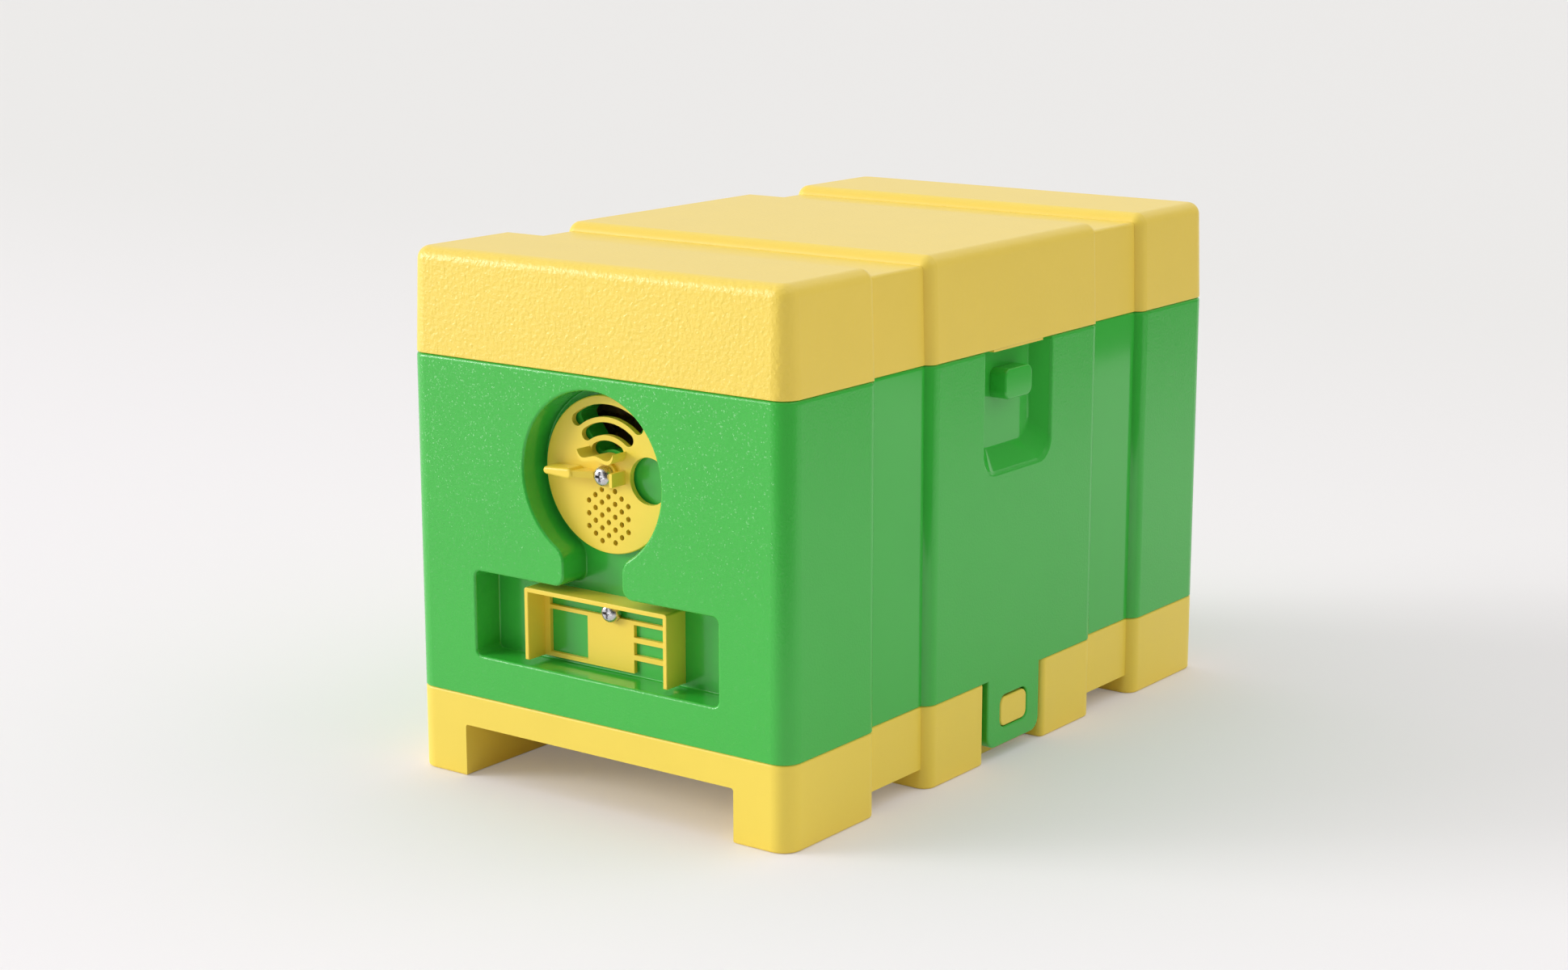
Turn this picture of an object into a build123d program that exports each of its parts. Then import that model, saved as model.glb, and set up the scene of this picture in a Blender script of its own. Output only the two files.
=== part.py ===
from build123d import *
import math
import os

# Mating nuc box: lid, insulated body and floor, with a round entrance disc, a sliding gate,
# hanging mini frames and a feeder. Millimetres, +Z up, front face towards -Y,
# origin at the middle of the footprint on the ground.

# Outer form
box_length = 270.0
box_width = 160.0
base_height = 29.6
body_height = 117.3
lid_height = 36.1
corner_radius = 7.0
side_wall = 20.0
end_wall = 20.0
cavity_corner = 4.0

# Grooves down the long sides and over the lid
end_band = 45.0
groove_width = 40.0
groove_depth = 3.2
groove_round = 5.0
groove_crease = 0.06
groove_overcut = 3.0

# Edge rounding
lid_bottom_round = 0.5
body_top_round = 1.3
body_bottom_round = 0.25
base_top_round = 0.9
foot_round = 1.0
recess_rim_round = 1.0
recess_floor_round = 0.5
edge_snap = 0.001

# Lid
lid_draft = 2.0
lid_edge_round = 4.5
lid_roof = 25.0
spigot_height = 3.8
spigot_width = 5.0
key_width = 32.0
key_drop = 0.8
key_inset = 0.5
seat_gap = 0.4

# Inner cover and the ledges that carry the cover and the frames
cover_thickness = 2.0
cover_ledge = 3.0
cover_depth = 6.0
bee_space = 6.0
frame_ledge = 6.0

# Snap latch between stacked mouldings
tab_width = 34.0
tab_length = 25.2
tab_thickness = 4.0
tab_corner = 5.0
tab_edge_round = 0.6
tab_seat_gap = 0.15
lug_drop = 13.3
lug_width = 17.3
lug_height = 10.7
lug_corner = 3.0
lug_edge_round = 0.8
window_gap = 0.25
window_head_gap = 0.75
latch_depth = 6.7
notch_side_gap = 2.2
notch_round = 2.5

# Stacking recess at the top of each long side
stack_floor_width = 33.0
stack_floor_depth = 36.0
stack_slope_side = 5.7
stack_slope_bottom = 7.9
stack_corner = 8.0
stack_floor_corner = 7.0
stack_floor_round = 1.0
stack_rim_round = 1.0

# Base
runner_width = 22.0
tunnel_height = 18.6
tunnel_corner = 1.0
arch_height = 7.2
base_spigot_height = 4.0
base_spigot_width = 4.0
vent_width = 76.0
vent_length = 150.0

# Floor grille
grille_thickness = 1.5
grille_lip = 5.0
grille_gap = 0.3
grille_slot = 2.6
grille_pitch = 6.2
grille_columns = 3
grille_rib = 4.0

# Entrance recess in the front wall
recess_depth = 12.0
disc_ring_gap = 2.6
disc_top_margin = 5.1
neck_width = 25.0
neck_height = 9.2
neck_round = 4.0
neck_top_round = 6.0
gate_recess_width = 104.0
gate_recess_height = 29.7
gate_recess_corner = 2.2
upper_entrance_inner = 8.0
upper_entrance_half_angle = 38.0
upper_entrance_corner = 2.0
lower_entrance_width = 14.0
lower_entrance_height = 14.0
lower_entrance_sill = 2.5
lower_entrance_corner = 1.0

# Excluder spacing shared by the disc and the gate
excluder_slot = 4.3
excluder_bar = 1.75

# Entrance disc
disc_diameter = 53.2
disc_thickness = 2.0
disc_standoff = 1.0
disc_rim = 3.0
disc_edge_round = 0.5
disc_excluder_slots = 3
excluder_half_angle = 43.0
disc_hole = 15.9
disc_hole_margin = 1.4
hub_radius = 4.5
hub_rise = 1.2
vent_hole = 1.9
vent_column_pitch = 2.8
vent_row_pitch = 4.35
vent_top_drop = 5.2
vent_side_columns = 3
vent_middle_rows = 5

# Finger grip on the disc
grip_rise = 6.7
lever_start = 10.3
lever_length = 12.4
lever_tip_width = 2.6
lever_root_width = 3.6
lever_round = 1.0
web_width = 2.2
web_rise = 2.4
fin_offset = 6.0
fin_thickness = 1.2
fin_height = 4.6
wave_half_width = 7.7
wave_dip_offset = 5.2
wave_end_height = 8.2
wave_dip_height = 5.7
wave_middle_height = 6.7
wave_thickness = 1.3

# Entrance gate
gate_width = 61.2
gate_depth = 10.0
gate_plate = 1.5
gate_flange = 1.6
gate_corner = 0.9
gate_head_gap = 3.0
gate_foot_gap = 1.5
gate_rest_shift = -1.1
gate_side_strip = 4.0
gate_section = 16.6
gate_rail = 1.3
gate_sill = 1.5
gate_excluder_slots = 2
gate_foot_slot = 4.6
gate_edge_round = 0.3
gate_slot_height = 3.6

# Screws
screw_head_diameter = 7.0
screw_head_height = 3.2
screw_head_round = 2.2
screw_shank_diameter = 3.0
screw_grip = 7.0
screw_cross_width = 0.9
screw_cross_length = 3.8
screw_cross_depth = 1.2
shank_gap = 0.3

# Mini frames
frame_count = 4
frame_pitch = 35.0
frame_first_gap = 16.0
bar_width = 22.0
bar_height = 8.0
bar_end_gap = 0.5
side_bar_thickness = 8.0
side_bar_gap = 5.0
bottom_bar_height = 6.0
bottom_bar_width = 15.0
frame_floor_gap = 12.0
foundation_thickness = 2.0
foundation_seat = 3.0
foundation_gap = 0.3
foundation_foot = 3.0

# Feeder
feeder_front_gap = 8.0
feeder_wall = 2.5
feeder_side_gap = 1.0
feeder_back_gap = 2.0
feeder_floor_gap = 6.5
feeder_lip = 3.0
feeder_corner = 6.0
feeder_notch_width = 60.0
feeder_notch_height = 10.0
float_gap = 1.5
float_thickness = 3.0
float_foot = 4.0
float_foot_diameter = 8.0
float_slot = 3.5
float_pitch = 9.0
float_border = 9.0

# Places worked out from the sizes above
half_length = box_length / 2
half_width = box_width / 2
front = -half_length
body_top = base_height + body_height
lid_top = body_top + lid_height
cavity_half_x = half_width - side_wall
cavity_half_y = half_length - end_wall
groove_centres = [side * (half_length - end_band - groove_width / 2) for side in (-1, 1)]
groove_shoulder = math.sqrt(2 * groove_round * groove_depth - groove_depth ** 2)
groove_flat = groove_width / 2 - groove_shoulder
ledge_half_x = cavity_half_x + frame_ledge
rebate_half_x = ledge_half_x + cover_ledge
rebate_half_y = cavity_half_y + cover_ledge
cover_seat = body_top - cover_depth
bar_top = cover_seat - bee_space
frame_seat = bar_top - bar_height
recess_floor = front + recess_depth
disc_radius = disc_diameter / 2
keyhole_radius = disc_radius + disc_ring_gap
disc_z = body_top - disc_top_margin - keyhole_radius
gate_recess_top = disc_z - keyhole_radius - neck_height
gate_recess_bottom = gate_recess_top - gate_recess_height
gate_top = gate_recess_top - gate_head_gap
gate_bottom = gate_recess_bottom + gate_foot_gap
gate_plate_front = recess_floor - gate_plate
disc_back = recess_floor - disc_standoff
disc_front = disc_back - disc_thickness
hub_front = disc_front - hub_rise
section_top = gate_bottom + gate_foot_slot + gate_excluder_slots * (excluder_slot + excluder_bar)
gate_slot_z = section_top + gate_rail + gate_slot_height / 2
section_offset = gate_width / 2 - gate_side_strip - gate_section / 2
hole_offset = disc_radius - disc_hole_margin - disc_hole / 2
shank_radius = screw_shank_diameter / 2
latch_floor_x = half_width - latch_depth
tab_hinge_z = base_height + body_bottom_round


def block(x_range, y_range, z_range):
    """Box between two opposite corners."""
    size = [high - low for low, high in (x_range, y_range, z_range)]
    middle = [(low + high) / 2 for low, high in (x_range, y_range, z_range)]
    return Pos(*middle) * Box(*size)


def upright_block(half_x, half_y, low, high, corner):
    """Box centred on the Z axis with rounded vertical edges."""
    return Pos(0, 0, low) * extrude(RectangleRounded(2 * half_x, 2 * half_y, corner), high - low)


def wall_plane(y):
    """Drawing plane of the front wall: X to the right, Z up, facing the front."""
    return Plane(origin=(0, y, 0), x_dir=(1, 0, 0), z_dir=(0, -1, 0))


def side_plane(x):
    """Drawing plane of a long side: Y to the right, Z up, facing +X."""
    return Plane(origin=(x, 0, 0), x_dir=(0, 1, 0), z_dir=(1, 0, 0))


def mirrored(shape):
    """The same shape on the opposite long side."""
    return mirror(shape, about=Plane.YZ)


def plan_outline():
    """Rounded rectangle with two grooves down each long side."""
    edges = []
    groove_x = half_width - groove_depth
    y_from = front + corner_radius
    for centre in groove_centres:
        start = centre - groove_width / 2
        end = centre + groove_width / 2
        edges.append(Line((half_width, y_from), (half_width, start)))
        edges.append(TangentArc((half_width, start), (groove_x, centre - groove_flat), tangent=(0, 1)))
        edges.append(Line((groove_x, centre - groove_flat), (groove_x, centre + groove_flat)))
        edges.append(TangentArc((half_width, end), (groove_x, centre + groove_flat), tangent=(0, -1)))
        y_from = end
    edges.append(Line((half_width, y_from), (half_width, half_length - corner_radius)))
    corner_x = half_width - corner_radius
    corner_y = half_length - corner_radius
    edges.append(CenterArc((corner_x, corner_y), corner_radius, 0, 90))
    edges.append(CenterArc((corner_x, -corner_y), corner_radius, 270, 90))
    edges += [edge.mirror(Plane.YZ) for edge in edges]
    edges.append(Line((-corner_x, half_length), (corner_x, half_length)))
    edges.append(Line((-corner_x, front), (corner_x, front)))
    return make_face(edges)


def corners_at(outline, x, y):
    """Corners of a flat outline at (x, y) and at its mirror images."""
    place = Vector(x, y)
    return [corner for corner in outline.vertices() if Vector(abs(corner.X), abs(corner.Y)) == place]


def notched(outline):
    """An outline of the base with a rounded notch behind each latch tab."""
    notch_half = tab_width / 2 + notch_side_gap
    for side in (-1, 1):
        outline -= Pos(side * half_width, 0) * Rectangle(2 * latch_depth, 2 * notch_half)
    return fillet(corners_at(outline, half_width, notch_half), notch_round)


def foot_outline():
    """Outline of the feet: a rounded rectangle parted at the grooves into three rounded bands."""
    gap_half = groove_width / 2 - groove_round
    outline = RectangleRounded(box_width, box_length, corner_radius)
    outline -= [Pos(0, centre) * Rectangle(box_width, 2 * gap_half) for centre in groove_centres]
    for end in (-gap_half, gap_half):
        outline = fillet(corners_at(outline, half_width, groove_centres[-1] + end), groove_round)
    return outline


def edges_at(shape, z):
    """Edges of a shape that lie in one horizontal plane."""
    return shape.edges().filter_by_position(Axis.Z, z - edge_snap, z + edge_snap)


def lug():
    """Latch lug on the right-hand side, standing on the latch floor at z = 0."""
    outline = side_plane(latch_floor_x) * RectangleRounded(lug_width, lug_height, lug_corner)
    solid = extrude(outline, latch_depth)
    return fillet(solid.faces().sort_by(Axis.X)[-1].edges(), lug_edge_round)


def lid_groove_cutter(centre):
    """Groove that climbs one long side, crosses the lid and comes down the other side."""
    slope = math.tan(math.radians(lid_draft))
    foot_x = half_width + groove_overcut * slope
    crown_x = half_width - lid_height * slope
    path = FilletPolyline(
        (foot_x, centre, body_top - groove_overcut),
        (crown_x, centre, lid_top),
        (-crown_x, centre, lid_top),
        (-foot_x, centre, body_top - groove_overcut),
        radius=lid_edge_round,
    )
    half = groove_width / 2
    outline = [
        TangentArc((-half, -groove_crease), (-groove_flat, groove_depth), tangent=(1, 0)),
        Line((-groove_flat, groove_depth), (groove_flat, groove_depth)),
        TangentArc((half, -groove_crease), (groove_flat, groove_depth), tangent=(-1, 0)),
        Polyline((half, -groove_crease), (half, -groove_overcut),
                 (-half, -groove_overcut), (-half, -groove_crease)),
    ]
    start = Plane(origin=path @ 0, x_dir=(0, 1, 0), z_dir=path % 0)
    return sweep(start * make_face(outline), path=path)


def make_lid():
    """Drafted roof with grooves, a spigot that enters the body and a key on each long side."""
    outline = RectangleRounded(box_width, box_length, corner_radius)
    lid = Pos(0, 0, body_top) * extrude(outline, lid_height, taper=lid_draft)
    lid = fillet(edges_at(lid, lid_top), lid_edge_round)
    lid = fillet(edges_at(lid, body_top), lid_bottom_round)
    for centre in groove_centres:
        lid -= lid_groove_cutter(centre)
    spigot_x = rebate_half_x - seat_gap
    spigot_y = rebate_half_y - seat_gap
    lid += upright_block(spigot_x, spigot_y, body_top - spigot_height, body_top, cavity_corner)
    hollow_x = spigot_x - spigot_width
    hollow_y = spigot_y - spigot_width
    hollow_top = lid_top - lid_roof
    lid -= upright_block(hollow_x, hollow_y, body_top - spigot_height, hollow_top, cavity_corner)
    key = block((latch_floor_x + key_inset, half_width - key_inset),
                (-key_width / 2, key_width / 2), (body_top - key_drop, body_top + key_drop))
    return lid + key + mirrored(key)


def make_inner_cover():
    """Clear sheet that closes the box under the lid."""
    return upright_block(rebate_half_x - seat_gap, rebate_half_y - seat_gap,
                         cover_seat, cover_seat + cover_thickness, cavity_corner)


def entrance_outline():
    """Keyhole recess: a circle for the disc, a neck and a wide pocket for the gate."""
    middle_z = (gate_recess_top + gate_recess_bottom) / 2
    pocket = RectangleRounded(gate_recess_width, gate_recess_height, gate_recess_corner)
    neck = Pos(0, (middle_z + disc_z) / 2) * Rectangle(neck_width, disc_z - middle_z)
    outline = Pos(0, middle_z) * pocket + neck + Pos(0, disc_z) * Circle(keyhole_radius)
    outline = fillet(corners_at(outline, neck_width / 2, gate_recess_top), neck_round)
    neck_head_z = disc_z - math.sqrt(keyhole_radius ** 2 - (neck_width / 2) ** 2)
    return fillet(corners_at(outline, neck_width / 2, neck_head_z), neck_top_round)


def stacking_recess():
    """Sloped pocket at the top of the right-hand side, open towards the lid."""
    floor_bottom = body_top - stack_floor_depth
    open_top = body_top + stack_corner + 2 * stack_slope_bottom
    floor_height = open_top - floor_bottom
    spread = 1 + stack_rim_round / latch_depth
    mouth_width = stack_floor_width + 2 * stack_slope_side * spread
    mouth_height = floor_height + stack_slope_bottom * spread
    floor = RectangleRounded(stack_floor_width, floor_height, stack_floor_corner)
    mouth = RectangleRounded(mouth_width, mouth_height, stack_corner)
    pocket = loft([
        side_plane(latch_floor_x) * Pos(0, open_top - floor_height / 2) * floor,
        side_plane(half_width + stack_rim_round) * Pos(0, open_top - mouth_height / 2) * mouth,
    ], ruled=True)
    return fillet(pocket.faces().sort_by(Axis.X)[0].edges(), stack_floor_round)


def upper_entrance():
    """Window behind the disc: a ring sector with rounded corners, drawn about the disc's middle."""
    start = 90 - upper_entrance_half_angle
    outer = CenterArc((0, 0), disc_radius - disc_rim, start, 2 * upper_entrance_half_angle)
    inner = CenterArc((0, 0), upper_entrance_inner, start, 2 * upper_entrance_half_angle)
    sector = make_face([outer, inner, Line(outer @ 0, inner @ 0), Line(outer @ 1, inner @ 1)])
    return fillet(sector.vertices(), upper_entrance_corner)


def make_body():
    """Insulated walls round the brood space, with the entrance recess in the front wall."""
    body = Pos(0, 0, base_height) * extrude(plan_outline(), body_height)
    body = fillet(edges_at(body, base_height), body_bottom_round)
    stack = stacking_recess()
    stacked = body - [stack, mirrored(stack)]
    stack_edges = new_edges(body, combined=stacked)
    mouth_edges = [edge for edge in stack_edges if abs(edge.center().X) >= half_width - edge_snap]
    body = fillet(mouth_edges, stack_rim_round)
    body = fillet(edges_at(body, body_top), body_top_round)
    recess = extrude(wall_plane(front) * entrance_outline(), -recess_depth)
    body -= fillet(recess.faces().sort_by(Axis.Y)[-1].edges(), recess_floor_round)
    rim = body.faces().sort_by(Axis.Y)[0].inner_wires()[0].edges()
    body = fillet(rim, recess_rim_round)
    body -= upright_block(cavity_half_x, cavity_half_y, base_height, body_top, cavity_corner)
    body -= upright_block(ledge_half_x, cavity_half_y, frame_seat, body_top, cavity_corner)
    body -= upright_block(rebate_half_x, rebate_half_y, cover_seat, body_top, cavity_corner)
    through_wall = end_wall - recess_depth
    body -= extrude(wall_plane(recess_floor) * Pos(0, disc_z) * upper_entrance(), -through_wall)
    slot_z = gate_recess_bottom + lower_entrance_sill + lower_entrance_height / 2
    slot = RectangleRounded(lower_entrance_width, lower_entrance_height, lower_entrance_corner)
    body -= extrude(wall_plane(recess_floor) * Pos(0, slot_z) * slot, -through_wall)
    for z in (disc_z, gate_slot_z):
        pilot = Pos(0, z) * Circle(shank_radius)
        body -= extrude(wall_plane(recess_floor) * pilot, -screw_grip)
    stack_lug = Pos(0, 0, body_top - lug_drop) * lug()
    seat_half = tab_width / 2 + tab_seat_gap
    tab_seat = block((half_width - tab_thickness - tab_seat_gap, half_width + body_bottom_round),
                     (-seat_half, seat_half), (base_height, tab_hinge_z))
    body -= [tab_seat, mirrored(tab_seat)]
    return body + [stack_lug, mirrored(stack_lug)]


def make_latch_tab():
    """Right-hand snap tab: hangs from the body and hooks its window over the lug of the base."""
    middle = (tab_hinge_z + base_height - tab_length) / 2
    height = tab_hinge_z - base_height + tab_length
    face = Pos(0, middle) * Rectangle(tab_width, height)
    face = fillet(face.vertices().group_by(Axis.Y)[0], tab_corner)
    window_height = lug_height + window_gap + window_head_gap
    window = RectangleRounded(lug_width + 2 * window_gap, window_height, lug_corner + window_gap)
    face -= Pos(0, base_height - lug_drop + (window_head_gap - window_gap) / 2) * window
    tab = extrude(side_plane(half_width) * face, -tab_thickness)
    outer_edges = tab.faces().sort_by(Axis.X)[-1].edges()
    return fillet(outer_edges.filter_by_position(Axis.Z, 0, tab_hinge_z - tab_edge_round), tab_edge_round)


def make_base():
    """Floor slab on two runners, with a tunnel between them and arches under the grooves."""
    slab = Pos(0, 0, arch_height) * extrude(notched(plan_outline()), base_height - arch_height)
    slab = fillet(edges_at(slab, base_height), base_top_round)
    tunnel_half = half_width - runner_width
    tunnel = Rectangle(2 * tunnel_half, 2 * tunnel_height)
    tunnel = fillet(tunnel.vertices().group_by(Axis.Y)[-1], tunnel_corner)
    tunnel = extrude(wall_plane(front) * tunnel, -box_length)
    feet = extrude(notched(foot_outline()), arch_height) - tunnel
    feet = fillet(edges_at(feet, 0), foot_round)
    base = slab - tunnel + feet
    base_lug = Pos(0, 0, base_height - lug_drop) * lug()
    base += [base_lug, mirrored(base_lug)]
    spigot_x = cavity_half_x - seat_gap
    spigot_y = cavity_half_y - seat_gap
    ring = upright_block(spigot_x, spigot_y, base_height, base_height + base_spigot_height, cavity_corner)
    ring -= upright_block(spigot_x - base_spigot_width, spigot_y - base_spigot_width,
                          base_height, base_height + base_spigot_height, cavity_corner)
    base += ring
    base -= upright_block(vent_width / 2, vent_length / 2, 0, base_height, cavity_corner)
    base -= upright_block(vent_width / 2 + grille_lip, vent_length / 2 + grille_lip,
                          base_height - grille_thickness, base_height, cavity_corner)
    return base


def make_floor_grille():
    """Slotted plate that lets air in through the floor and keeps bees from passing."""
    half_x = vent_width / 2 + grille_lip - grille_gap
    half_y = vent_length / 2 + grille_lip - grille_gap
    plate = upright_block(half_x, half_y, base_height - grille_thickness, base_height, cavity_corner)
    slot_length = (vent_width - (grille_columns + 1) * grille_rib) / grille_columns
    rows = int((vent_length - 2 * grille_rib) / grille_pitch)
    slot = Box(slot_length, grille_slot, 3 * grille_thickness)
    places = GridLocations(slot_length + grille_rib, grille_pitch, grille_columns, rows)
    return plate - [Pos(0, 0, base_height) * place * slot for place in places]


def excluder_slots():
    """Arc slots that worker bees can pass and a queen can't."""
    slots = Sketch()
    radius = disc_radius - disc_rim - excluder_slot / 2
    for _ in range(disc_excluder_slots):
        reach = excluder_half_angle - math.degrees(excluder_slot / 2 / radius)
        slots += SlotArc(CenterArc((0, 0), radius, 90 - reach, 2 * reach), excluder_slot)
        radius -= excluder_slot + excluder_bar
    return slots


def vent_holes():
    """Staggered field of small holes below the middle of the disc."""
    holes = Sketch()
    for column in range(-vent_side_columns, vent_side_columns + 1):
        shift = abs(abs(column) - 1) / 2
        rows = vent_middle_rows - int(2 * shift)
        for row in range(rows):
            z = -vent_top_drop - (row + shift) * vent_row_pitch
            holes += Pos(column * vent_column_pitch, z) * Circle(vent_hole / 2)
    return holes


def wave_rib():
    """Thin wavy wall above the screw, along the lower edge of the innermost slot."""
    crest = [(-wave_half_width, wave_end_height), (-wave_dip_offset, wave_dip_height),
             (0, wave_middle_height), (wave_dip_offset, wave_dip_height),
             (wave_half_width, wave_end_height)]
    upper = Spline(*[(x, z + wave_thickness / 2) for x, z in crest])
    lower = Spline(*[(x, z - wave_thickness / 2) for x, z in crest])
    ends = [Line(upper @ end, lower @ end) for end in (0, 1)]
    return make_face([upper, lower] + ends)


def make_disc():
    """Four-position entrance disc: excluder, vent, open and closed, turned by a finger grip."""
    face = Circle(disc_radius) - excluder_slots() - vent_holes()
    face -= Pos(hole_offset, 0) * Circle(disc_hole / 2)
    back = wall_plane(disc_back) * Pos(0, disc_z)
    top = wall_plane(disc_front) * Pos(0, disc_z)
    disc = extrude(back * face, disc_thickness)
    disc = fillet(disc.faces().sort_by(Axis.Y)[0].outer_wire().edges(), disc_edge_round)
    disc += extrude(wall_plane(recess_floor) * Pos(0, disc_z) * Circle(hub_radius), disc_standoff)
    disc += extrude(top * Circle(hub_radius), hub_rise)
    lever_root = lever_start + lever_root_width / 2
    lever_tip = lever_start + lever_length - lever_tip_width / 2
    root_end = Pos(-lever_root, 0) * Circle(lever_root_width / 2)
    tip_end = Pos(-lever_tip, 0) * Circle(lever_tip_width / 2)
    lever = extrude(top * make_hull(root_end.edges() + tip_end.edges()), grip_rise)
    disc += fillet(lever.faces().sort_by(Axis.Y)[0].edges(), lever_round)
    web = make_face(Polyline((-lever_root, 0), (-hub_radius / 2, 0), (-hub_radius / 2, web_rise),
                             (-lever_root, grip_rise), close=True))
    web_plane = Plane(origin=(0, disc_front, disc_z - web_width / 2), x_dir=(1, 0, 0), z_dir=(0, 0, 1))
    disc += extrude(web_plane * mirror(web, about=Plane.XZ), web_width)
    fin = Pos(fin_offset + fin_thickness / 2, 0) * Rectangle(fin_thickness, fin_height)
    disc += extrude(top * fin, grip_rise)
    disc += extrude(top * wave_rib(), grip_rise)
    bore = Circle(shank_radius + shank_gap)
    screw_head = Circle(screw_head_diameter / 2 + shank_gap)
    disc -= extrude(wall_plane(recess_floor) * Pos(0, disc_z) * bore, recess_depth)
    disc -= extrude(wall_plane(hub_front) * Pos(0, disc_z) * screw_head, recess_depth)
    return disc


def gate_cutouts():
    """Openings of the gate's plate, drawn about the middle of the gate."""
    strip = section_offset + gate_section / 2
    cuts = Pos(0, gate_slot_z) * Rectangle(2 * strip, gate_slot_height)
    window_bottom = gate_bottom + gate_sill
    window_height = section_top - window_bottom
    window = Pos(-section_offset, window_bottom + window_height / 2)
    cuts += window * Rectangle(gate_section, window_height)
    top = section_top
    for _ in range(gate_excluder_slots):
        cuts += Pos(section_offset, top - excluder_slot / 2) * Rectangle(gate_section, excluder_slot)
        top -= excluder_slot + excluder_bar
    foot = top - gate_bottom
    return cuts + Pos(section_offset, gate_bottom + foot / 2) * Rectangle(gate_section, foot)


def make_gate():
    """Three-position slide for the lower entrance, with flanges on three sides."""
    height = gate_top - gate_bottom
    outline = Pos(0, gate_bottom + height / 2) * Rectangle(gate_width, height)
    outline = fillet(outline.vertices().group_by(Axis.Y)[-1], gate_corner)
    inner_width = gate_width - 2 * gate_flange
    inner_height = height - gate_flange
    inner = Pos(0, gate_bottom + inner_height / 2) * Rectangle(inner_width, inner_height)
    plane = wall_plane(recess_floor) * Pos(gate_rest_shift, 0)
    gate = extrude(plane * outline, gate_depth)
    gate -= extrude(wall_plane(gate_plate_front) * Pos(gate_rest_shift, 0) * inner, gate_depth)
    gate = fillet(gate.faces().sort_by(Axis.Y)[0].edges(), gate_edge_round)
    return gate - extrude(plane * gate_cutouts(), gate_plate)


def make_screw(head_seat, z):
    """Pan-head screw with a cross recess, driven into the front wall."""
    seat = wall_plane(head_seat) * Pos(0, z)
    head = extrude(seat * Circle(screw_head_diameter / 2), screw_head_height)
    head = fillet(head.faces().sort_by(Axis.Y)[0].edges(), screw_head_round)
    arm = Rectangle(screw_cross_length, screw_cross_width)
    cross = arm + Rot(0, 0, 90) * arm
    top = wall_plane(head_seat - screw_head_height) * Pos(0, z)
    head -= extrude(top * cross, -screw_cross_depth)
    shank_length = recess_floor + screw_grip - head_seat
    return head + extrude(seat * Circle(shank_radius), -shank_length)


def make_top_bar(y):
    """Top bar whose ends hang on the ledges of the body; its groove holds the foundation."""
    half_x = ledge_half_x - bar_end_gap
    bar = block((-half_x, half_x), (y - bar_width / 2, y + bar_width / 2), (frame_seat, bar_top))
    groove_half = foundation_thickness / 2 + foundation_gap
    inner_x = cavity_half_x - side_bar_gap - side_bar_thickness
    groove = block((-inner_x, inner_x), (y - groove_half, y + groove_half),
                   (frame_seat, frame_seat + foundation_seat))
    return bar - groove


def make_side_bars(y):
    """Pair of uprights between the top bar and the bottom bar."""
    outer_x = cavity_half_x - side_bar_gap
    low = base_height + frame_floor_gap + bottom_bar_height
    bar = block((outer_x - side_bar_thickness, outer_x),
                (y - bar_width / 2, y + bar_width / 2), (low, frame_seat))
    return Compound([bar, mirrored(bar)])


def make_bottom_bar(y):
    """Narrow bar under the uprights."""
    outer_x = cavity_half_x - side_bar_gap
    low = base_height + frame_floor_gap
    return block((-outer_x, outer_x), (y - bottom_bar_width / 2, y + bottom_bar_width / 2),
                 (low, low + bottom_bar_height))


def make_foundation(y):
    """Wax sheet that hangs in the groove of the top bar."""
    half_x = cavity_half_x - side_bar_gap - side_bar_thickness - foundation_gap
    low = base_height + frame_floor_gap + bottom_bar_height + foundation_foot
    return block((-half_x, half_x), (y - foundation_thickness / 2, y + foundation_thickness / 2),
                 (low, frame_seat + foundation_seat))


def frame_y(number):
    """Middle of a frame, counted from the front."""
    return -cavity_half_y + frame_first_gap + bar_width / 2 + number * frame_pitch


def feeder_span():
    """Front and back of the feeder, between the last frame and the rear wall."""
    start = frame_y(frame_count - 1) + bar_width / 2 + feeder_front_gap
    return start, cavity_half_y - feeder_back_gap


def make_feeder_tub():
    """Open tub behind the frames, hung on the ledges by its side lips."""
    start, end = feeder_span()
    middle = (start + end) / 2
    half_x = cavity_half_x - feeder_side_gap
    half_y = (end - start) / 2
    low = base_height + feeder_floor_gap
    tub = upright_block(half_x, half_y, low, bar_top, feeder_corner)
    lip_x = ledge_half_x - bar_end_gap
    lip_y = half_y - feeder_corner
    tub += block((-lip_x, lip_x), (-lip_y, lip_y), (frame_seat, frame_seat + feeder_lip))
    tub -= upright_block(half_x - feeder_wall, half_y - feeder_wall, low + feeder_wall, bar_top,
                         feeder_corner - feeder_wall)
    notch_half = feeder_notch_width / 2
    tub -= block((-notch_half, notch_half), (-half_y, 0), (bar_top - feeder_notch_height, bar_top))
    return Pos(0, middle, 0) * tub


def make_feeder_float():
    """Slotted raft that keeps bees out of the syrup; it stands on short feet when the tub is dry."""
    start, end = feeder_span()
    half_x = cavity_half_x - feeder_side_gap - feeder_wall - float_gap
    half_y = (end - start) / 2 - feeder_wall - float_gap
    floor = base_height + feeder_floor_gap + feeder_wall
    low = floor + float_foot
    raft = upright_block(half_x, half_y, low, low + float_thickness, cavity_corner)
    slots = int((2 * half_x - 2 * float_border) / float_pitch)
    slot = Box(float_slot, 2 * (half_y - float_border), 3 * float_thickness)
    raft -= [Pos(0, 0, low) * place * slot for place in GridLocations(float_pitch, 1, slots, 1)]
    foot_x = half_x - float_foot_diameter
    foot_y = half_y - float_border / 2
    for place in GridLocations(2 * foot_x, 2 * foot_y, 2, 2):
        raft += Pos(0, 0, floor + float_foot / 2) * place * Cylinder(float_foot_diameter / 2, float_foot)
    return Pos(0, (start + end) / 2, 0) * raft


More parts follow.
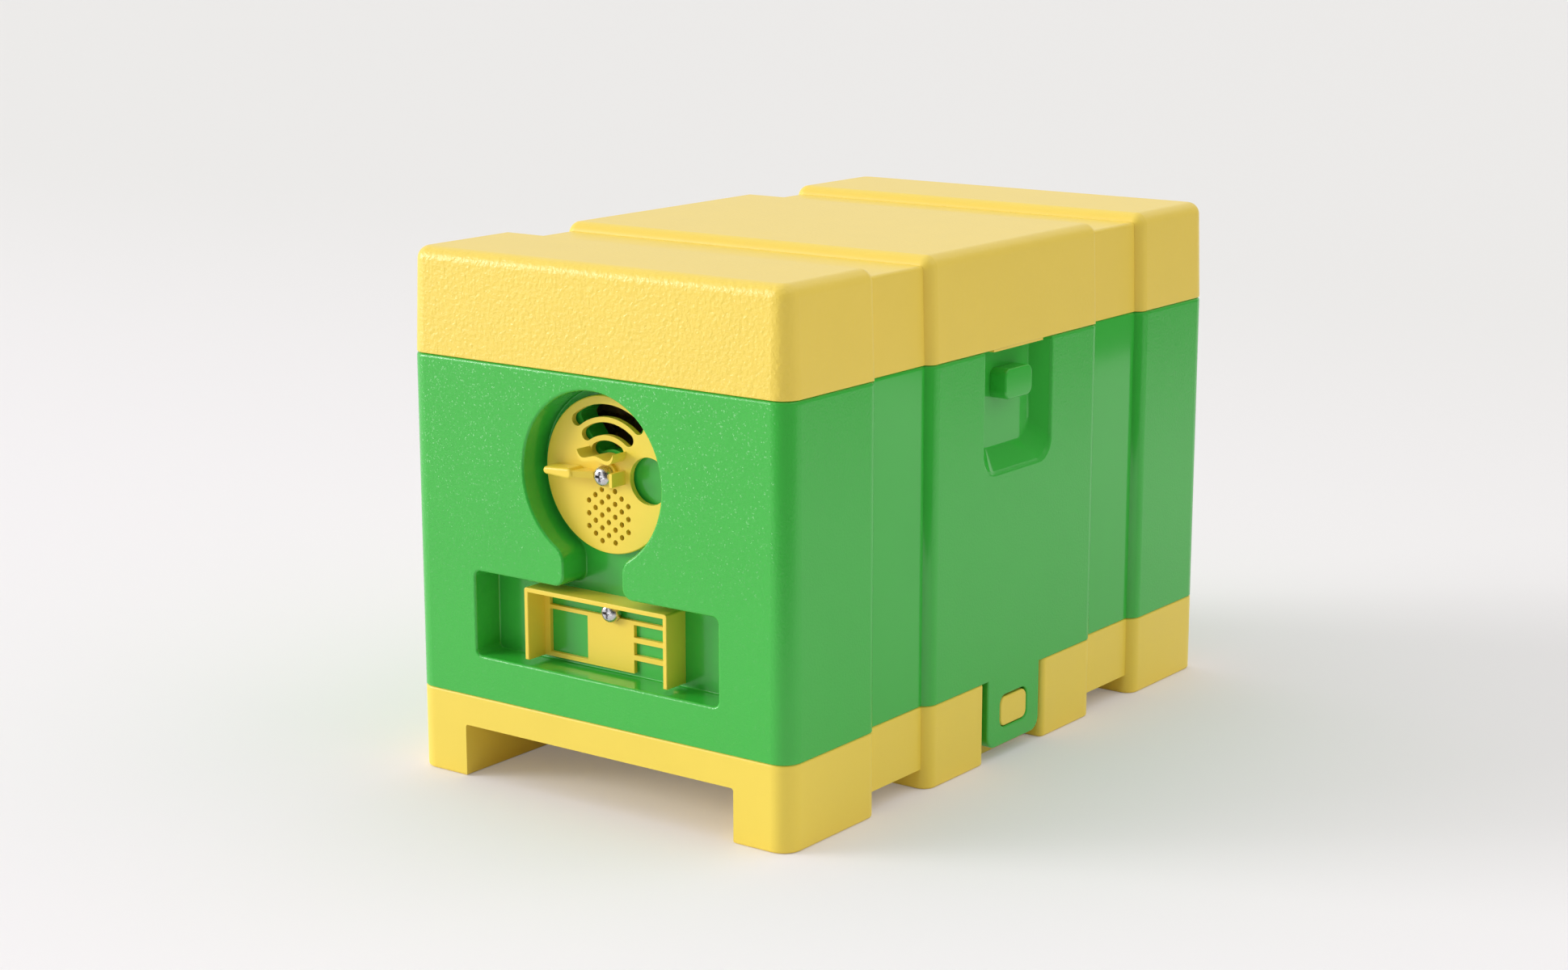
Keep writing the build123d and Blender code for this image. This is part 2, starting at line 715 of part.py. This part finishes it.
def make_parts():
    """Every piece under its own name, in the closed position."""
    tab = make_latch_tab()
    screws = [make_screw(hub_front, disc_z), make_screw(gate_plate_front, gate_slot_z)]
    parts = {
        "lid": make_lid(),
        "inner_cover": make_inner_cover(),
        "nuc_body": make_body(),
        "base": make_base(),
        "floor_grille": make_floor_grille(),
        "latch_tab_right": tab,
        "latch_tab_left": mirrored(tab),
        "entrance_disc": make_disc(),
        "entrance_gate": make_gate(),
        "entrance_screws": Compound(screws),
        "feeder_tub": make_feeder_tub(),
        "feeder_float": make_feeder_float(),
    }
    for number in range(frame_count):
        y = frame_y(number)
        name = f"frame_{number + 1}"
        parts[f"{name}_top_bar"] = make_top_bar(y)
        parts[f"{name}_side_bars"] = make_side_bars(y)
        parts[f"{name}_bottom_bar"] = make_bottom_bar(y)
        parts[f"{name}_foundation"] = make_foundation(y)
    return parts


os.makedirs("parts", exist_ok=True)
for part_name, solid in make_parts().items():
    export_step(solid, f"parts/{part_name}.step")
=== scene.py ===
import math

import bmesh
import bpy
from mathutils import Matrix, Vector


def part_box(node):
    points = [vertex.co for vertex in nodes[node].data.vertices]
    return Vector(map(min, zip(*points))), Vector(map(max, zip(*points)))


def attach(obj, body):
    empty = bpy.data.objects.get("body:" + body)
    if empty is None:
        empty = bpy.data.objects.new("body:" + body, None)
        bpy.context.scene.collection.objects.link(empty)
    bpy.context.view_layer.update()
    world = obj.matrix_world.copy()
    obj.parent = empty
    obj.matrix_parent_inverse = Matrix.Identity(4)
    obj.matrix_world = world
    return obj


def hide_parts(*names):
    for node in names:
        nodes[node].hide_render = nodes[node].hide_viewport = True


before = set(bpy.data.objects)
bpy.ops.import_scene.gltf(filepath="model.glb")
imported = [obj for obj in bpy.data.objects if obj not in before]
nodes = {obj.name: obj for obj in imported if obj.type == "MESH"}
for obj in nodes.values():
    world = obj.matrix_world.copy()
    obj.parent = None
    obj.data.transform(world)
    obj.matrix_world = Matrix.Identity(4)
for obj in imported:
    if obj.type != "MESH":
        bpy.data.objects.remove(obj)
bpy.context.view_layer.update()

# Camera, fitted to the photographed edges of the box: picture pixels, sensor millimetres, metres and degrees
PICTURE_WIDTH = 1940
FOCAL_PIXELS = 3465.1
VANISHING_X = 980
SENSOR_WIDTH = 36.0
CAMERA_PLACE = (0.5791, -0.8148, 0.3097)
CAMERA_AZIMUTH = 36.206
CAMERA_ELEVATION = 12.587

# Suns, with the side that each shines from and its width in degrees: a low key from the left,
# a weaker glint from the front left and a warm fill from the right rear
KEY_DIRECTION = (-0.82, -0.53, 0.24)
KEY_STRENGTH = 1.58
KEY_ANGLE = 24.0
GLINT_DIRECTION = (-0.62, -0.66, 0.43)
GLINT_STRENGTH = 0.36
GLINT_ANGLE = 20.0
FILL_DIRECTION = (0.76, 0.48, 0.44)
FILL_STRENGTH = 0.72
FILL_ANGLE = 70.0
FILL_COLOUR = (1.0, 0.96, 0.90)

# Sky that lights the object, brightest overhead, and the pale room that reflections show.
# Both grow dim towards the camera's side, and the values named FROM are the cosine where that begins
SKY_COLOUR = (0.8, 0.8, 0.8, 1.0)
SKY_BRIGHT_SIDE = (-0.18, -0.14, 0.97)
SKY_LOW = 0.30
SKY_HIGH = 1.46
SKY_DIM_FROM = 0.3
SKY_DIM_LEVEL = 0.45
ROOM_PALE = (0.84, 0.83, 0.82, 1.0)
ROOM_DARK_SIDE = (0.56, -0.80, 0.22)
ROOM_DARK_FROM = 0.5
ROOM_DARK_LEVEL = 0.10

# Floor, in metres, paler near the camera; its glow is the share of even light that softens its shadows
FLOOR_SIZE = 60.0
# The floor's darkening from FLOOR_NEAR to FLOOR_FAR towards the back is painted shade, standing in for light
# that fades away from the lamps
FLOOR_NEAR = (0.93, 0.90, 0.925, 1.0)
FLOOR_FAR = (0.82, 0.81, 0.80, 1.0)
FLOOR_NEAR_Y = -0.5
FLOOR_FAR_Y = 1.2
FLOOR_GLOW = 0.14
STAGE_ROUGHNESS = 0.9

# Dark cards that only reflections show: the two ends of each on the floor, and its height, in metres
CARDS = {
    "card_front": ((-0.198, -0.792), (0.792, 0.198), 0.5),
    "card_right": ((1.31, 0.14), (0.452, 0.65), 0.9),
    "card_back": ((0.452, 0.54), (0.452, 1.6), 0.9),
}
CARD_GREY = (0.05, 0.05, 0.05, 1.0)

# Colours
LID_YELLOW = (0.93, 0.69, 0.096, 1.0)
BASE_YELLOW = (0.95, 0.72, 0.09, 1.0)
FITTING_YELLOW = (0.95, 0.71, 0.075, 1.0)
BODY_GREEN = (0.046, 0.50, 0.054, 1.0)
SCREW_GREY = (0.64, 0.64, 0.66, 1.0)
PINE = (0.47, 0.30, 0.15, 1.0)
WAX = (0.74, 0.46, 0.10, 1.0)
SHEET_CLEAR = (0.93, 0.96, 0.97, 1.0)
FEEDER_WHITE = (0.80, 0.80, 0.77, 1.0)

# Where a finish begins and ends, in metres: the outer skin of the body, the grooves over the lid,
# the front pocket and the recesses of the long sides, and the stacking lugs
CORNER_RADIUS = 0.0070
SKIN_DEPTH = 0.0006
GROOVE_CENTRE = 0.070
GROOVE_HALF = 0.020
GROOVE_SHOULDER = 0.0047
POCKET_REACH = 0.060
SIDE_REACH = 0.070
LUG_HALF_WIDTH = 0.0095
LUG_BOTTOM = 0.115

# Grain: waves per metre, height of the relief in metres, and the share of it on the long sides and the top.
# END_FACING is how squarely a surface faces the front or the rear where its grain grows and where it is full
LID_WRINKLES = 640.0
LID_PORES = 3 * LID_WRINKLES
LID_PORE_SHARE = 0.10
LID_RELIEF = 0.00030
LID_GRAIN_LEAST = 0.3
BODY_GRAIN = 1100.0
BODY_RELIEF = 0.00010
BODY_GRAIN_LEAST = 0.7
END_FACING = (0.1, 0.8)
PINE_ALONG = 9.0
PINE_ACROSS = 240.0

# Roughness of the body's finishes, how far a satin finish strays from its own, and the usual range of noise
POCKET_ROUGHNESS = 0.17
SIDE_ROUGHNESS = 0.09
SKIN_ROUGHNESS = 0.24
SATIN_SPREAD = 0.03
NOISE_RANGE = (0.3, 0.7)

# Glitter of the body: flakes per metre, how far they lean, the least upward lean that shines, the step to
# full shine, the shine near the top and at the foot, and the heights in metres between which it fades
FLAKES = 2200.0
FLAKE_MIDDLE = (0.5, 0.5, 0.5)
FLAKE_TILT = 0.62
FLAKE_LEAST = 0.20
FLAKE_STEP = 0.03
FLAKE_SHINE = 0.27
FLAKE_LOW_SHINE = 0.2 * FLAKE_SHINE
FLAKE_FADE = (0.045, 0.135)

# Cells pressed into the wax, in metres
CELL_SIDES = 6
CELL_PITCH = 0.0054
CELL_WALL = 0.0007
CELL_FLOOR = 0.0040
CELL_DEPTH = 0.0007
SPARE_CELLS = 2
WELD_DISTANCE = CELL_WALL / 20
CUT_TOLERANCE = CELL_WALL / 100


def add(tree, kind, inputs=None, **properties):
    """Adds a shader node. An input given as a socket is linked, and any other value is set."""
    made = tree.nodes.new(kind)
    for name, value in properties.items():
        setattr(made, name, value)
    for name, value in (inputs or {}).items():
        if isinstance(value, bpy.types.NodeSocket):
            tree.links.new(value, made.inputs[name])
        else:
            made.inputs[name].default_value = value
    return made


def calculate(tree, operation, first, second=0.0):
    """One step of arithmetic on sockets or numbers."""
    return add(tree, "ShaderNodeMath", {0: first, 1: second}, operation=operation).outputs["Value"]


def combine(tree, operation, first, second):
    """One step of arithmetic on vectors."""
    return add(tree, "ShaderNodeVectorMath", {0: first, 1: second}, operation=operation).outputs["Vector"]


def measure(tree, operation, first, second=(0.0, 0.0, 0.0)):
    """One number worked out from vectors."""
    return add(tree, "ShaderNodeVectorMath", {0: first, 1: second}, operation=operation).outputs["Value"]


def axes_of(tree, vector):
    """The three parts of a vector."""
    return add(tree, "ShaderNodeSeparateXYZ", {"Vector": vector}).outputs


def ramp(tree, value, low, high, start=0.0, end=1.0):
    """Smooth step of a value from start, at low, to end, at high."""
    step = add(tree, "ShaderNodeMapRange", {"Value": value, "From Min": low, "From Max": high,
                                            "To Min": start, "To Max": end}, interpolation_type="SMOOTHSTEP")
    return step.outputs["Result"]


def noise(tree, place, scale, detail=2.0, roughness=0.5, distortion=0.0):
    """Noise from 0 to 1; scale is in waves per metre."""
    return add(tree, "ShaderNodeTexNoise", {"Vector": place, "Scale": scale, "Detail": detail,
                                            "Roughness": roughness, "Distortion": distortion}).outputs["Fac"]


def blend(tree, factor, first, second):
    """Colour that goes from the first to the second as the factor goes from 0 to 1."""
    mix = add(tree, "ShaderNodeMix", {"Factor": factor, "A": first, "B": second}, data_type="RGBA")
    return mix.outputs["Result"]


def mix_shaders(tree, factor, first, second):
    """Blend of two shaders."""
    return add(tree, "ShaderNodeMixShader", {0: factor, 1: first, 2: second}).outputs["Shader"]


def object_place(tree):
    """Position on the object, in metres."""
    return add(tree, "ShaderNodeTexCoord").outputs["Object"]


def new_material(name, **values):
    """Material with one Principled shader whose fixed values are set on its own sockets."""
    material = bpy.data.materials.new(name)
    material.use_nodes = True
    tree = material.node_tree
    shader = tree.nodes["Principled BSDF"]
    for socket, value in values.items():
        shader.inputs[socket.replace("_", " ")].default_value = value
    return material, tree, shader


def new_object(name, data):
    """Object in the scene."""
    made = bpy.data.objects.new(name, data)
    bpy.context.scene.collection.objects.link(made)
    return made


def new_mesh_object(name, corners, faces, material):
    """Object in the scene with its own mesh and one material."""
    mesh = bpy.data.meshes.new(name)
    mesh.from_pydata(corners, [], faces)
    mesh.materials.append(material)
    return new_object(name, mesh)


def tint(tree, shader, colour, factor, depth):
    """Base colour that wanders between one colour and a darker one; depth is how much darker."""
    dark = tuple(channel * (1 - depth) for channel in colour[:3]) + (1.0,)
    tree.links.new(blend(tree, factor, dark, colour), shader.inputs["Base Color"])


def roughen(tree, shader, factor, low, high):
    """Roughness that wanders between two limits."""
    tree.links.new(ramp(tree, factor, *NOISE_RANGE, low, high), shader.inputs["Roughness"])


def bump(tree, shader, height, distance):
    """Fine relief on the shader's normal; distance is the relief's height in metres."""
    relief = add(tree, "ShaderNodeBump", {"Height": height, "Distance": distance}).outputs["Normal"]
    tree.links.new(relief, shader.inputs["Normal"])
    return relief


def beside_grooves(tree, place):
    """1 on the lid's proud bands and 0 in its grooves."""
    from_middle = calculate(tree, "ABSOLUTE", axes_of(tree, place)["Y"])
    off_centre = calculate(tree, "SUBTRACT", from_middle, GROOVE_CENTRE)
    reach = calculate(tree, "ABSOLUTE", off_centre)
    return ramp(tree, reach, GROOVE_HALF - GROOVE_SHOULDER, GROOVE_HALF)


def outer_skin(tree, place):
    """1 on the outer faces and corners of the body, 0 in its recesses and grooves and on its lugs."""
    half_width, half_depth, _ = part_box("nuc_body")[1]
    axes = axes_of(tree, place)
    over = []
    for axis, half in (("X", half_width), ("Y", half_depth)):
        reach = calculate(tree, "ABSOLUTE", axes[axis])
        over.append(calculate(tree, "SUBTRACT", reach, half - CORNER_RADIUS))
    outside = add(tree, "ShaderNodeCombineXYZ", {"X": calculate(tree, "MAXIMUM", over[0], 0.0),
                                                 "Y": calculate(tree, "MAXIMUM", over[1], 0.0)})
    corner = measure(tree, "LENGTH", outside.outputs["Vector"])
    inside = calculate(tree, "MINIMUM", calculate(tree, "MAXIMUM", over[0], over[1]), 0.0)
    reach = calculate(tree, "ADD", corner, inside)
    skin = ramp(tree, reach, CORNER_RADIUS - 2 * SKIN_DEPTH, CORNER_RADIUS - SKIN_DEPTH)
    beside_lug = calculate(tree, "GREATER_THAN", calculate(tree, "ABSOLUTE", axes["Y"]), LUG_HALF_WIDTH)
    below_lug = calculate(tree, "LESS_THAN", axes["Z"], LUG_BOTTOM)
    return calculate(tree, "MULTIPLY", skin, calculate(tree, "MAXIMUM", beside_lug, below_lug))


def end_faces(tree, least):
    """1 where the surface faces the front or the rear, and least on the long sides and the top."""
    facing = axes_of(tree, add(tree, "ShaderNodeTexCoord").outputs["Normal"])["Y"]
    return ramp(tree, calculate(tree, "ABSOLUTE", facing), *END_FACING, start=least)


def grained_yellow():
    """Lid: yellow moulding with a leather grain on its proud bands, deepest at the two ends."""
    material, tree, shader = new_material("lid_yellow_grain", Roughness=0.42, Specular_IOR_Level=0.45,
                                          Coat_Weight=0.28, Coat_Roughness=0.27)
    place = object_place(tree)
    wrinkle = noise(tree, place, LID_WRINKLES, distortion=0.2)
    pores = noise(tree, place, LID_PORES, roughness=0.6)
    height = calculate(tree, "ADD", wrinkle, calculate(tree, "MULTIPLY", pores, LID_PORE_SHARE))
    depth = calculate(tree, "MULTIPLY", beside_grooves(tree, place), end_faces(tree, LID_GRAIN_LEAST))
    tint(tree, shader, LID_YELLOW, noise(tree, place, scale=60.0), depth=0.04)
    relief = bump(tree, shader, calculate(tree, "MULTIPLY", height, depth), LID_RELIEF)
    tree.links.new(relief, shader.inputs["Coat Normal"])
    return material


def glitter(tree, shader, place, skin):
    """Clear coat in flat flakes that lean at random. Those that lean upwards shine, most near the top."""
    flakes = add(tree, "ShaderNodeTexVoronoi", {"Vector": place, "Scale": FLAKES})
    lean = combine(tree, "SUBTRACT", flakes.outputs["Color"], FLAKE_MIDDLE)
    lean = combine(tree, "MULTIPLY", lean, (FLAKE_TILT, FLAKE_TILT, FLAKE_TILT))
    flat = add(tree, "ShaderNodeNewGeometry").outputs["Normal"]
    tree.links.new(combine(tree, "ADD", flat, lean), shader.inputs["Coat Normal"])
    upward = ramp(tree, axes_of(tree, lean)["Z"], FLAKE_LEAST, FLAKE_LEAST + FLAKE_STEP)
    high = ramp(tree, axes_of(tree, place)["Z"], *FLAKE_FADE, FLAKE_LOW_SHINE, FLAKE_SHINE)
    shine = calculate(tree, "MULTIPLY", upward, high)
    tree.links.new(calculate(tree, "MULTIPLY", skin, shine), shader.inputs["Coat Weight"])


def moulded_green():
    """Body: green moulding, grained outside and polished in its recesses, with a fine glitter."""
    material, tree, shader = new_material("body_green_moulded", Coat_Roughness=0.22, Specular_IOR_Level=0.62)
    place = object_place(tree)
    skin = outer_skin(tree, place)
    depth = calculate(tree, "MULTIPLY", skin, end_faces(tree, BODY_GRAIN_LEAST))
    height = calculate(tree, "MULTIPLY", noise(tree, place, BODY_GRAIN, roughness=0.6), depth)
    tint(tree, shader, BODY_GREEN, noise(tree, place, scale=45.0), depth=0.05)
    sideways = calculate(tree, "ABSOLUTE", axes_of(tree, place)["X"])
    polish = ramp(tree, sideways, POCKET_REACH, SIDE_REACH, POCKET_ROUGHNESS, SIDE_ROUGHNESS)
    tree.links.new(ramp(tree, skin, 0.0, 1.0, polish, SKIN_ROUGHNESS), shader.inputs["Roughness"])
    glitter(tree, shader, place, skin)
    bump(tree, shader, height, BODY_RELIEF)
    return material


def satin_plastic(name, colour, roughness, **values):
    """Smooth plastic whose gloss wanders a little."""
    material, tree, shader = new_material(name, **values)
    place = object_place(tree)
    mottle = noise(tree, place, scale=50.0, detail=3.0)
    tint(tree, shader, colour, mottle, depth=0.04)
    roughen(tree, shader, mottle, roughness - SATIN_SPREAD, roughness + SATIN_SPREAD)
    bump(tree, shader, noise(tree, place, scale=1600.0), distance=0.00002)
    return material


def plated_steel():
    """Screws: bright plated steel."""
    material, tree, shader = new_material("screw_plated", Metallic=1.0)
    mottle = noise(tree, object_place(tree), scale=2500.0)
    tint(tree, shader, SCREW_GREY, mottle, depth=0.1)
    roughen(tree, shader, mottle, low=0.22, high=0.34)
    return material


def pine(name, waves):
    """Planed pine; waves holds the grain's waves per metre on each axis."""
    material, tree, shader = new_material(name)
    fibre = combine(tree, "MULTIPLY", object_place(tree), waves)
    rings = noise(tree, fibre, scale=1.0, detail=3.0, roughness=0.55, distortion=0.8)
    tint(tree, shader, PINE, ramp(tree, rings, low=0.38, high=0.62), depth=0.30)
    roughen(tree, shader, rings, low=0.48, high=0.66)
    bump(tree, shader, noise(tree, fibre, scale=4.0), distance=0.00015)
    return material


def comb_wax():
    """Foundation: pressed beeswax, a little cloudy."""
    material, tree, shader = new_material("comb_wax_pressed", Subsurface_Weight=0.15,
                                          Subsurface_Radius=(0.004, 0.002, 0.0005))
    place = object_place(tree)
    cloud = noise(tree, place, scale=70.0, detail=3.0)
    tint(tree, shader, WAX, cloud, depth=0.18)
    roughen(tree, shader, cloud, low=0.36, high=0.50)
    bump(tree, shader, noise(tree, place, scale=900.0), distance=0.00005)
    return material


def clear_sheet():
    """Inner cover: clear sheet with a little haze and faint scuffs."""
    material, tree, shader = new_material("clear_sheet_scuffed", Transmission_Weight=0.85, IOR=1.30)
    scuffs = noise(tree, object_place(tree), scale=120.0, detail=4.0, roughness=0.7)
    tint(tree, shader, SHEET_CLEAR, scuffs, depth=0.02)
    roughen(tree, shader, scuffs, low=0.02, high=0.10)
    return material


def hexagon(centre_x, centre_z, across, y):
    """Corners of an upright hexagon; across is the distance between its flat sides."""
    radius = across / math.sqrt(3)
    turn = 360 / CELL_SIDES
    angles = [math.radians((corner + 0.5) * turn) for corner in range(CELL_SIDES)]
    return [(centre_x + radius * math.cos(angle), y, centre_z + radius * math.sin(angle)) for angle in angles]


def pressed_face(low, high):
    """Front of a foundation sheet: a field of pressed cells, cut straight at the sheet's edges."""
    field = bmesh.new()
    width, height = high[0] - low[0], high[2] - low[2]
    row_pitch = CELL_PITCH * math.sqrt(3) / 2
    for row in range(math.ceil(height / row_pitch) + SPARE_CELLS):
        for column in range(math.ceil(width / CELL_PITCH) + SPARE_CELLS):
            x = low[0] + (column - row % 2 / 2) * CELL_PITCH
            z = low[2] + row * row_pitch
            rings = [hexagon(x, z, CELL_PITCH, low[1]), hexagon(x, z, CELL_PITCH - CELL_WALL, low[1]),
                     hexagon(x, z, CELL_FLOOR, low[1] + CELL_DEPTH)]
            rings = [[field.verts.new(corner) for corner in ring] for ring in rings]
            for outer, inner in zip(rings, rings[1:]):
                for corner in range(CELL_SIDES):
                    field.faces.new((outer[corner - 1], outer[corner], inner[corner], inner[corner - 1]))
            field.faces.new(rings[-1])
    bmesh.ops.remove_doubles(field, verts=field.verts, dist=WELD_DISTANCE)
    for edge, outward in ((low, (-1, 0, 0)), (low, (0, 0, -1)), (high, (1, 0, 0)), (high, (0, 0, 1))):
        everything = field.verts[:] + field.edges[:] + field.faces[:]
        bmesh.ops.bisect_plane(field, geom=everything, dist=CUT_TOLERANCE, plane_co=edge, plane_no=outward,
                               clear_outer=True)
    return field


def make_foundation(node, material):
    """Wax sheet with cells pressed into both faces, in the place of a CAD node."""
    low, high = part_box(node)
    field = pressed_face(low, high)
    field.verts.index_update()
    middle = (low[1] + high[1]) / 2
    front = [corner.co.to_tuple() for corner in field.verts]
    back = [(x, 2 * middle - y, z) for x, y, z in front]
    faces = [[corner.index for corner in face.verts] for face in field.faces]
    turned = [[len(front) + corner for corner in reversed(face)] for face in faces]
    rim = []
    for edge in field.edges:
        if edge.is_boundary:
            loop = edge.link_loops[0]
            first, second = loop.link_loop_next.vert.index, loop.vert.index
            rim.append((first, second, len(front) + second, len(front) + first))
    field.free()
    sheet = new_mesh_object(f"{node}_cells", front + back, faces + turned + rim, material)
    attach(sheet, "contents")
    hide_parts(node)


def make_camera():
    """Camera at the picture's viewpoint."""
    azimuth, elevation = math.radians(CAMERA_AZIMUTH), math.radians(CAMERA_ELEVATION)
    back = Vector((math.sin(azimuth) * math.cos(elevation),
                   -math.cos(azimuth) * math.cos(elevation), math.sin(elevation)))
    data = bpy.data.cameras.new("camera")
    data.sensor_width = SENSOR_WIDTH
    data.lens = FOCAL_PIXELS * SENSOR_WIDTH / PICTURE_WIDTH
    data.shift_x = (PICTURE_WIDTH / 2 - VANISHING_X) / PICTURE_WIDTH
    camera = new_object("camera", data)
    camera.location = CAMERA_PLACE
    camera.rotation_mode = "QUATERNION"
    camera.rotation_quaternion = (-back).to_track_quat("-Z", "Y")
    bpy.context.scene.camera = camera


def seen_rays(tree):
    """1 for what the camera, a mirror or a clear piece shows, 0 for light on the object."""
    rays = add(tree, "ShaderNodeLightPath").outputs
    seen = calculate(tree, "MAXIMUM", rays["Is Camera Ray"], rays["Is Glossy Ray"])
    return calculate(tree, "MAXIMUM", seen, rays["Is Transmission Ray"])


def make_floor():
    """Pale floor that fills the picture and takes the object's shadow."""
    material, tree, shader = new_material("floor_pale", Roughness=STAGE_ROUGHNESS)
    depth = axes_of(tree, object_place(tree))["Y"]
    # Colour that darkens towards the back: painted shade in place of the light's falloff
    shade = blend(tree, ramp(tree, depth, FLOOR_NEAR_Y, FLOOR_FAR_Y), FLOOR_NEAR, FLOOR_FAR)
    tree.links.new(shade, shader.inputs["Base Color"])
    glow = add(tree, "ShaderNodeEmission", {"Color": shade}).outputs["Emission"]
    share = calculate(tree, "MULTIPLY", seen_rays(tree), FLOOR_GLOW)
    surface = mix_shaders(tree, share, shader.outputs["BSDF"], glow)
    tree.links.new(surface, tree.nodes["Material Output"].inputs["Surface"])
    half = FLOOR_SIZE / 2
    corners = [(-half, -half, 0), (half, -half, 0), (half, half, 0), (-half, half, 0)]
    floor = new_mesh_object("floor", corners, [(0, 1, 2, 3)], material)


def make_cards():
    """Dark cards around the object; they take no part in the light and aren't seen by the camera."""
    material, tree, shader = new_material("card_dark", Roughness=STAGE_ROUGHNESS)
    tint(tree, shader, CARD_GREY, noise(tree, object_place(tree), scale=4.0), depth=0.1)
    for name, (start, end, height) in CARDS.items():
        corners = [(*start, 0), (*end, 0), (*end, height), (*start, height)]
        card = new_mesh_object(name, corners, [(0, 1, 2, 3)], material)
        card.visible_camera = False
        card.visible_diffuse = False
        card.visible_transmission = False
        card.visible_shadow = False


def make_sun(name, direction, strength, angle, colour=(1.0, 1.0, 1.0), mirrored=True):
    """Light that comes from one direction, spread over an angle."""
    data = bpy.data.lights.new(name, "SUN")
    data.color = colour
    data.energy = strength
    data.angle = math.radians(angle)
    sun = new_object(name, data)
    sun.rotation_mode = "QUATERNION"
    sun.rotation_quaternion = Vector(direction).to_track_quat("Z", "Y")
    sun.visible_glossy = mirrored


def background(tree, colour, strength=1.0):
    """Shader of an even background."""
    return add(tree, "ShaderNodeBackground", {"Color": colour, "Strength": strength}).outputs["Background"]


def make_sky():
    """Sky for the light and a pale room for mirrors; the camera sees the room without its dim side."""
    world = bpy.data.worlds.new("sky")
    bpy.context.scene.world = world
    world.use_nodes = True
    tree = world.node_tree
    tree.nodes.remove(tree.nodes["Background"])
    direction = add(tree, "ShaderNodeTexCoord").outputs["Generated"]
    up = measure(tree, "DOT_PRODUCT", direction, SKY_BRIGHT_SIDE)
    backward = measure(tree, "DOT_PRODUCT", direction, ROOM_DARK_SIDE)
    level = add(tree, "ShaderNodeMapRange", {"Value": up, "To Min": SKY_LOW, "To Max": SKY_HIGH})
    sky_dim = ramp(tree, backward, SKY_DIM_FROM, 1.0, 1.0, SKY_DIM_LEVEL)
    room_dim = ramp(tree, backward, ROOM_DARK_FROM, 1.0, 1.0, ROOM_DARK_LEVEL)
    sky = background(tree, SKY_COLOUR, calculate(tree, "MULTIPLY", level.outputs["Result"], sky_dim))
    mirrored = background(tree, ROOM_PALE, room_dim)
    backdrop = background(tree, ROOM_PALE)
    camera_ray = add(tree, "ShaderNodeLightPath").outputs["Is Camera Ray"]
    room = mix_shaders(tree, camera_ray, mirrored, backdrop)
    surface = mix_shaders(tree, seen_rays(tree), sky, room)
    tree.links.new(surface, tree.nodes["World Output"].inputs["Surface"])


def dress(names, material):
    """Gives CAD nodes their finish."""
    for name in names:
        mesh = nodes[name].data
        mesh.materials.clear()
        mesh.materials.append(material)


def frame_pieces(*endings):
    """Names of the frame nodes with one of these endings."""
    return [name for name in nodes if name.startswith("frame_") and name.endswith(endings)]


bpy.context.scene.view_settings.view_transform = "Standard"
make_camera()
make_floor()
make_cards()
make_sun("key", KEY_DIRECTION, KEY_STRENGTH, KEY_ANGLE)
make_sun("glint", GLINT_DIRECTION, GLINT_STRENGTH, GLINT_ANGLE)
make_sun("fill", FILL_DIRECTION, FILL_STRENGTH, FILL_ANGLE, FILL_COLOUR, mirrored=False)
make_sky()
dress(["lid"], grained_yellow())
dress(["nuc_body", "latch_tab_left", "latch_tab_right"], moulded_green())
dress(["base"], satin_plastic("base_yellow_satin", BASE_YELLOW, roughness=0.38))
dress(["entrance_disc", "entrance_gate", "floor_grille"],
      satin_plastic("fitting_yellow_satin", FITTING_YELLOW, roughness=0.34))
dress(["entrance_screws"], plated_steel())
dress(["inner_cover"], clear_sheet())
dress(["feeder_tub", "feeder_float"],
      satin_plastic("feeder_white_satin", FEEDER_WHITE, roughness=0.36, Subsurface_Weight=0.1))
dress(frame_pieces("top_bar", "bottom_bar"), pine("pine_along_x", (PINE_ALONG, PINE_ACROSS, PINE_ACROSS)))
dress(frame_pieces("side_bars"), pine("pine_along_z", (PINE_ACROSS, PINE_ACROSS, PINE_ALONG)))
wax = comb_wax()
for foundation in frame_pieces("foundation"):
    make_foundation(foundation, wax)
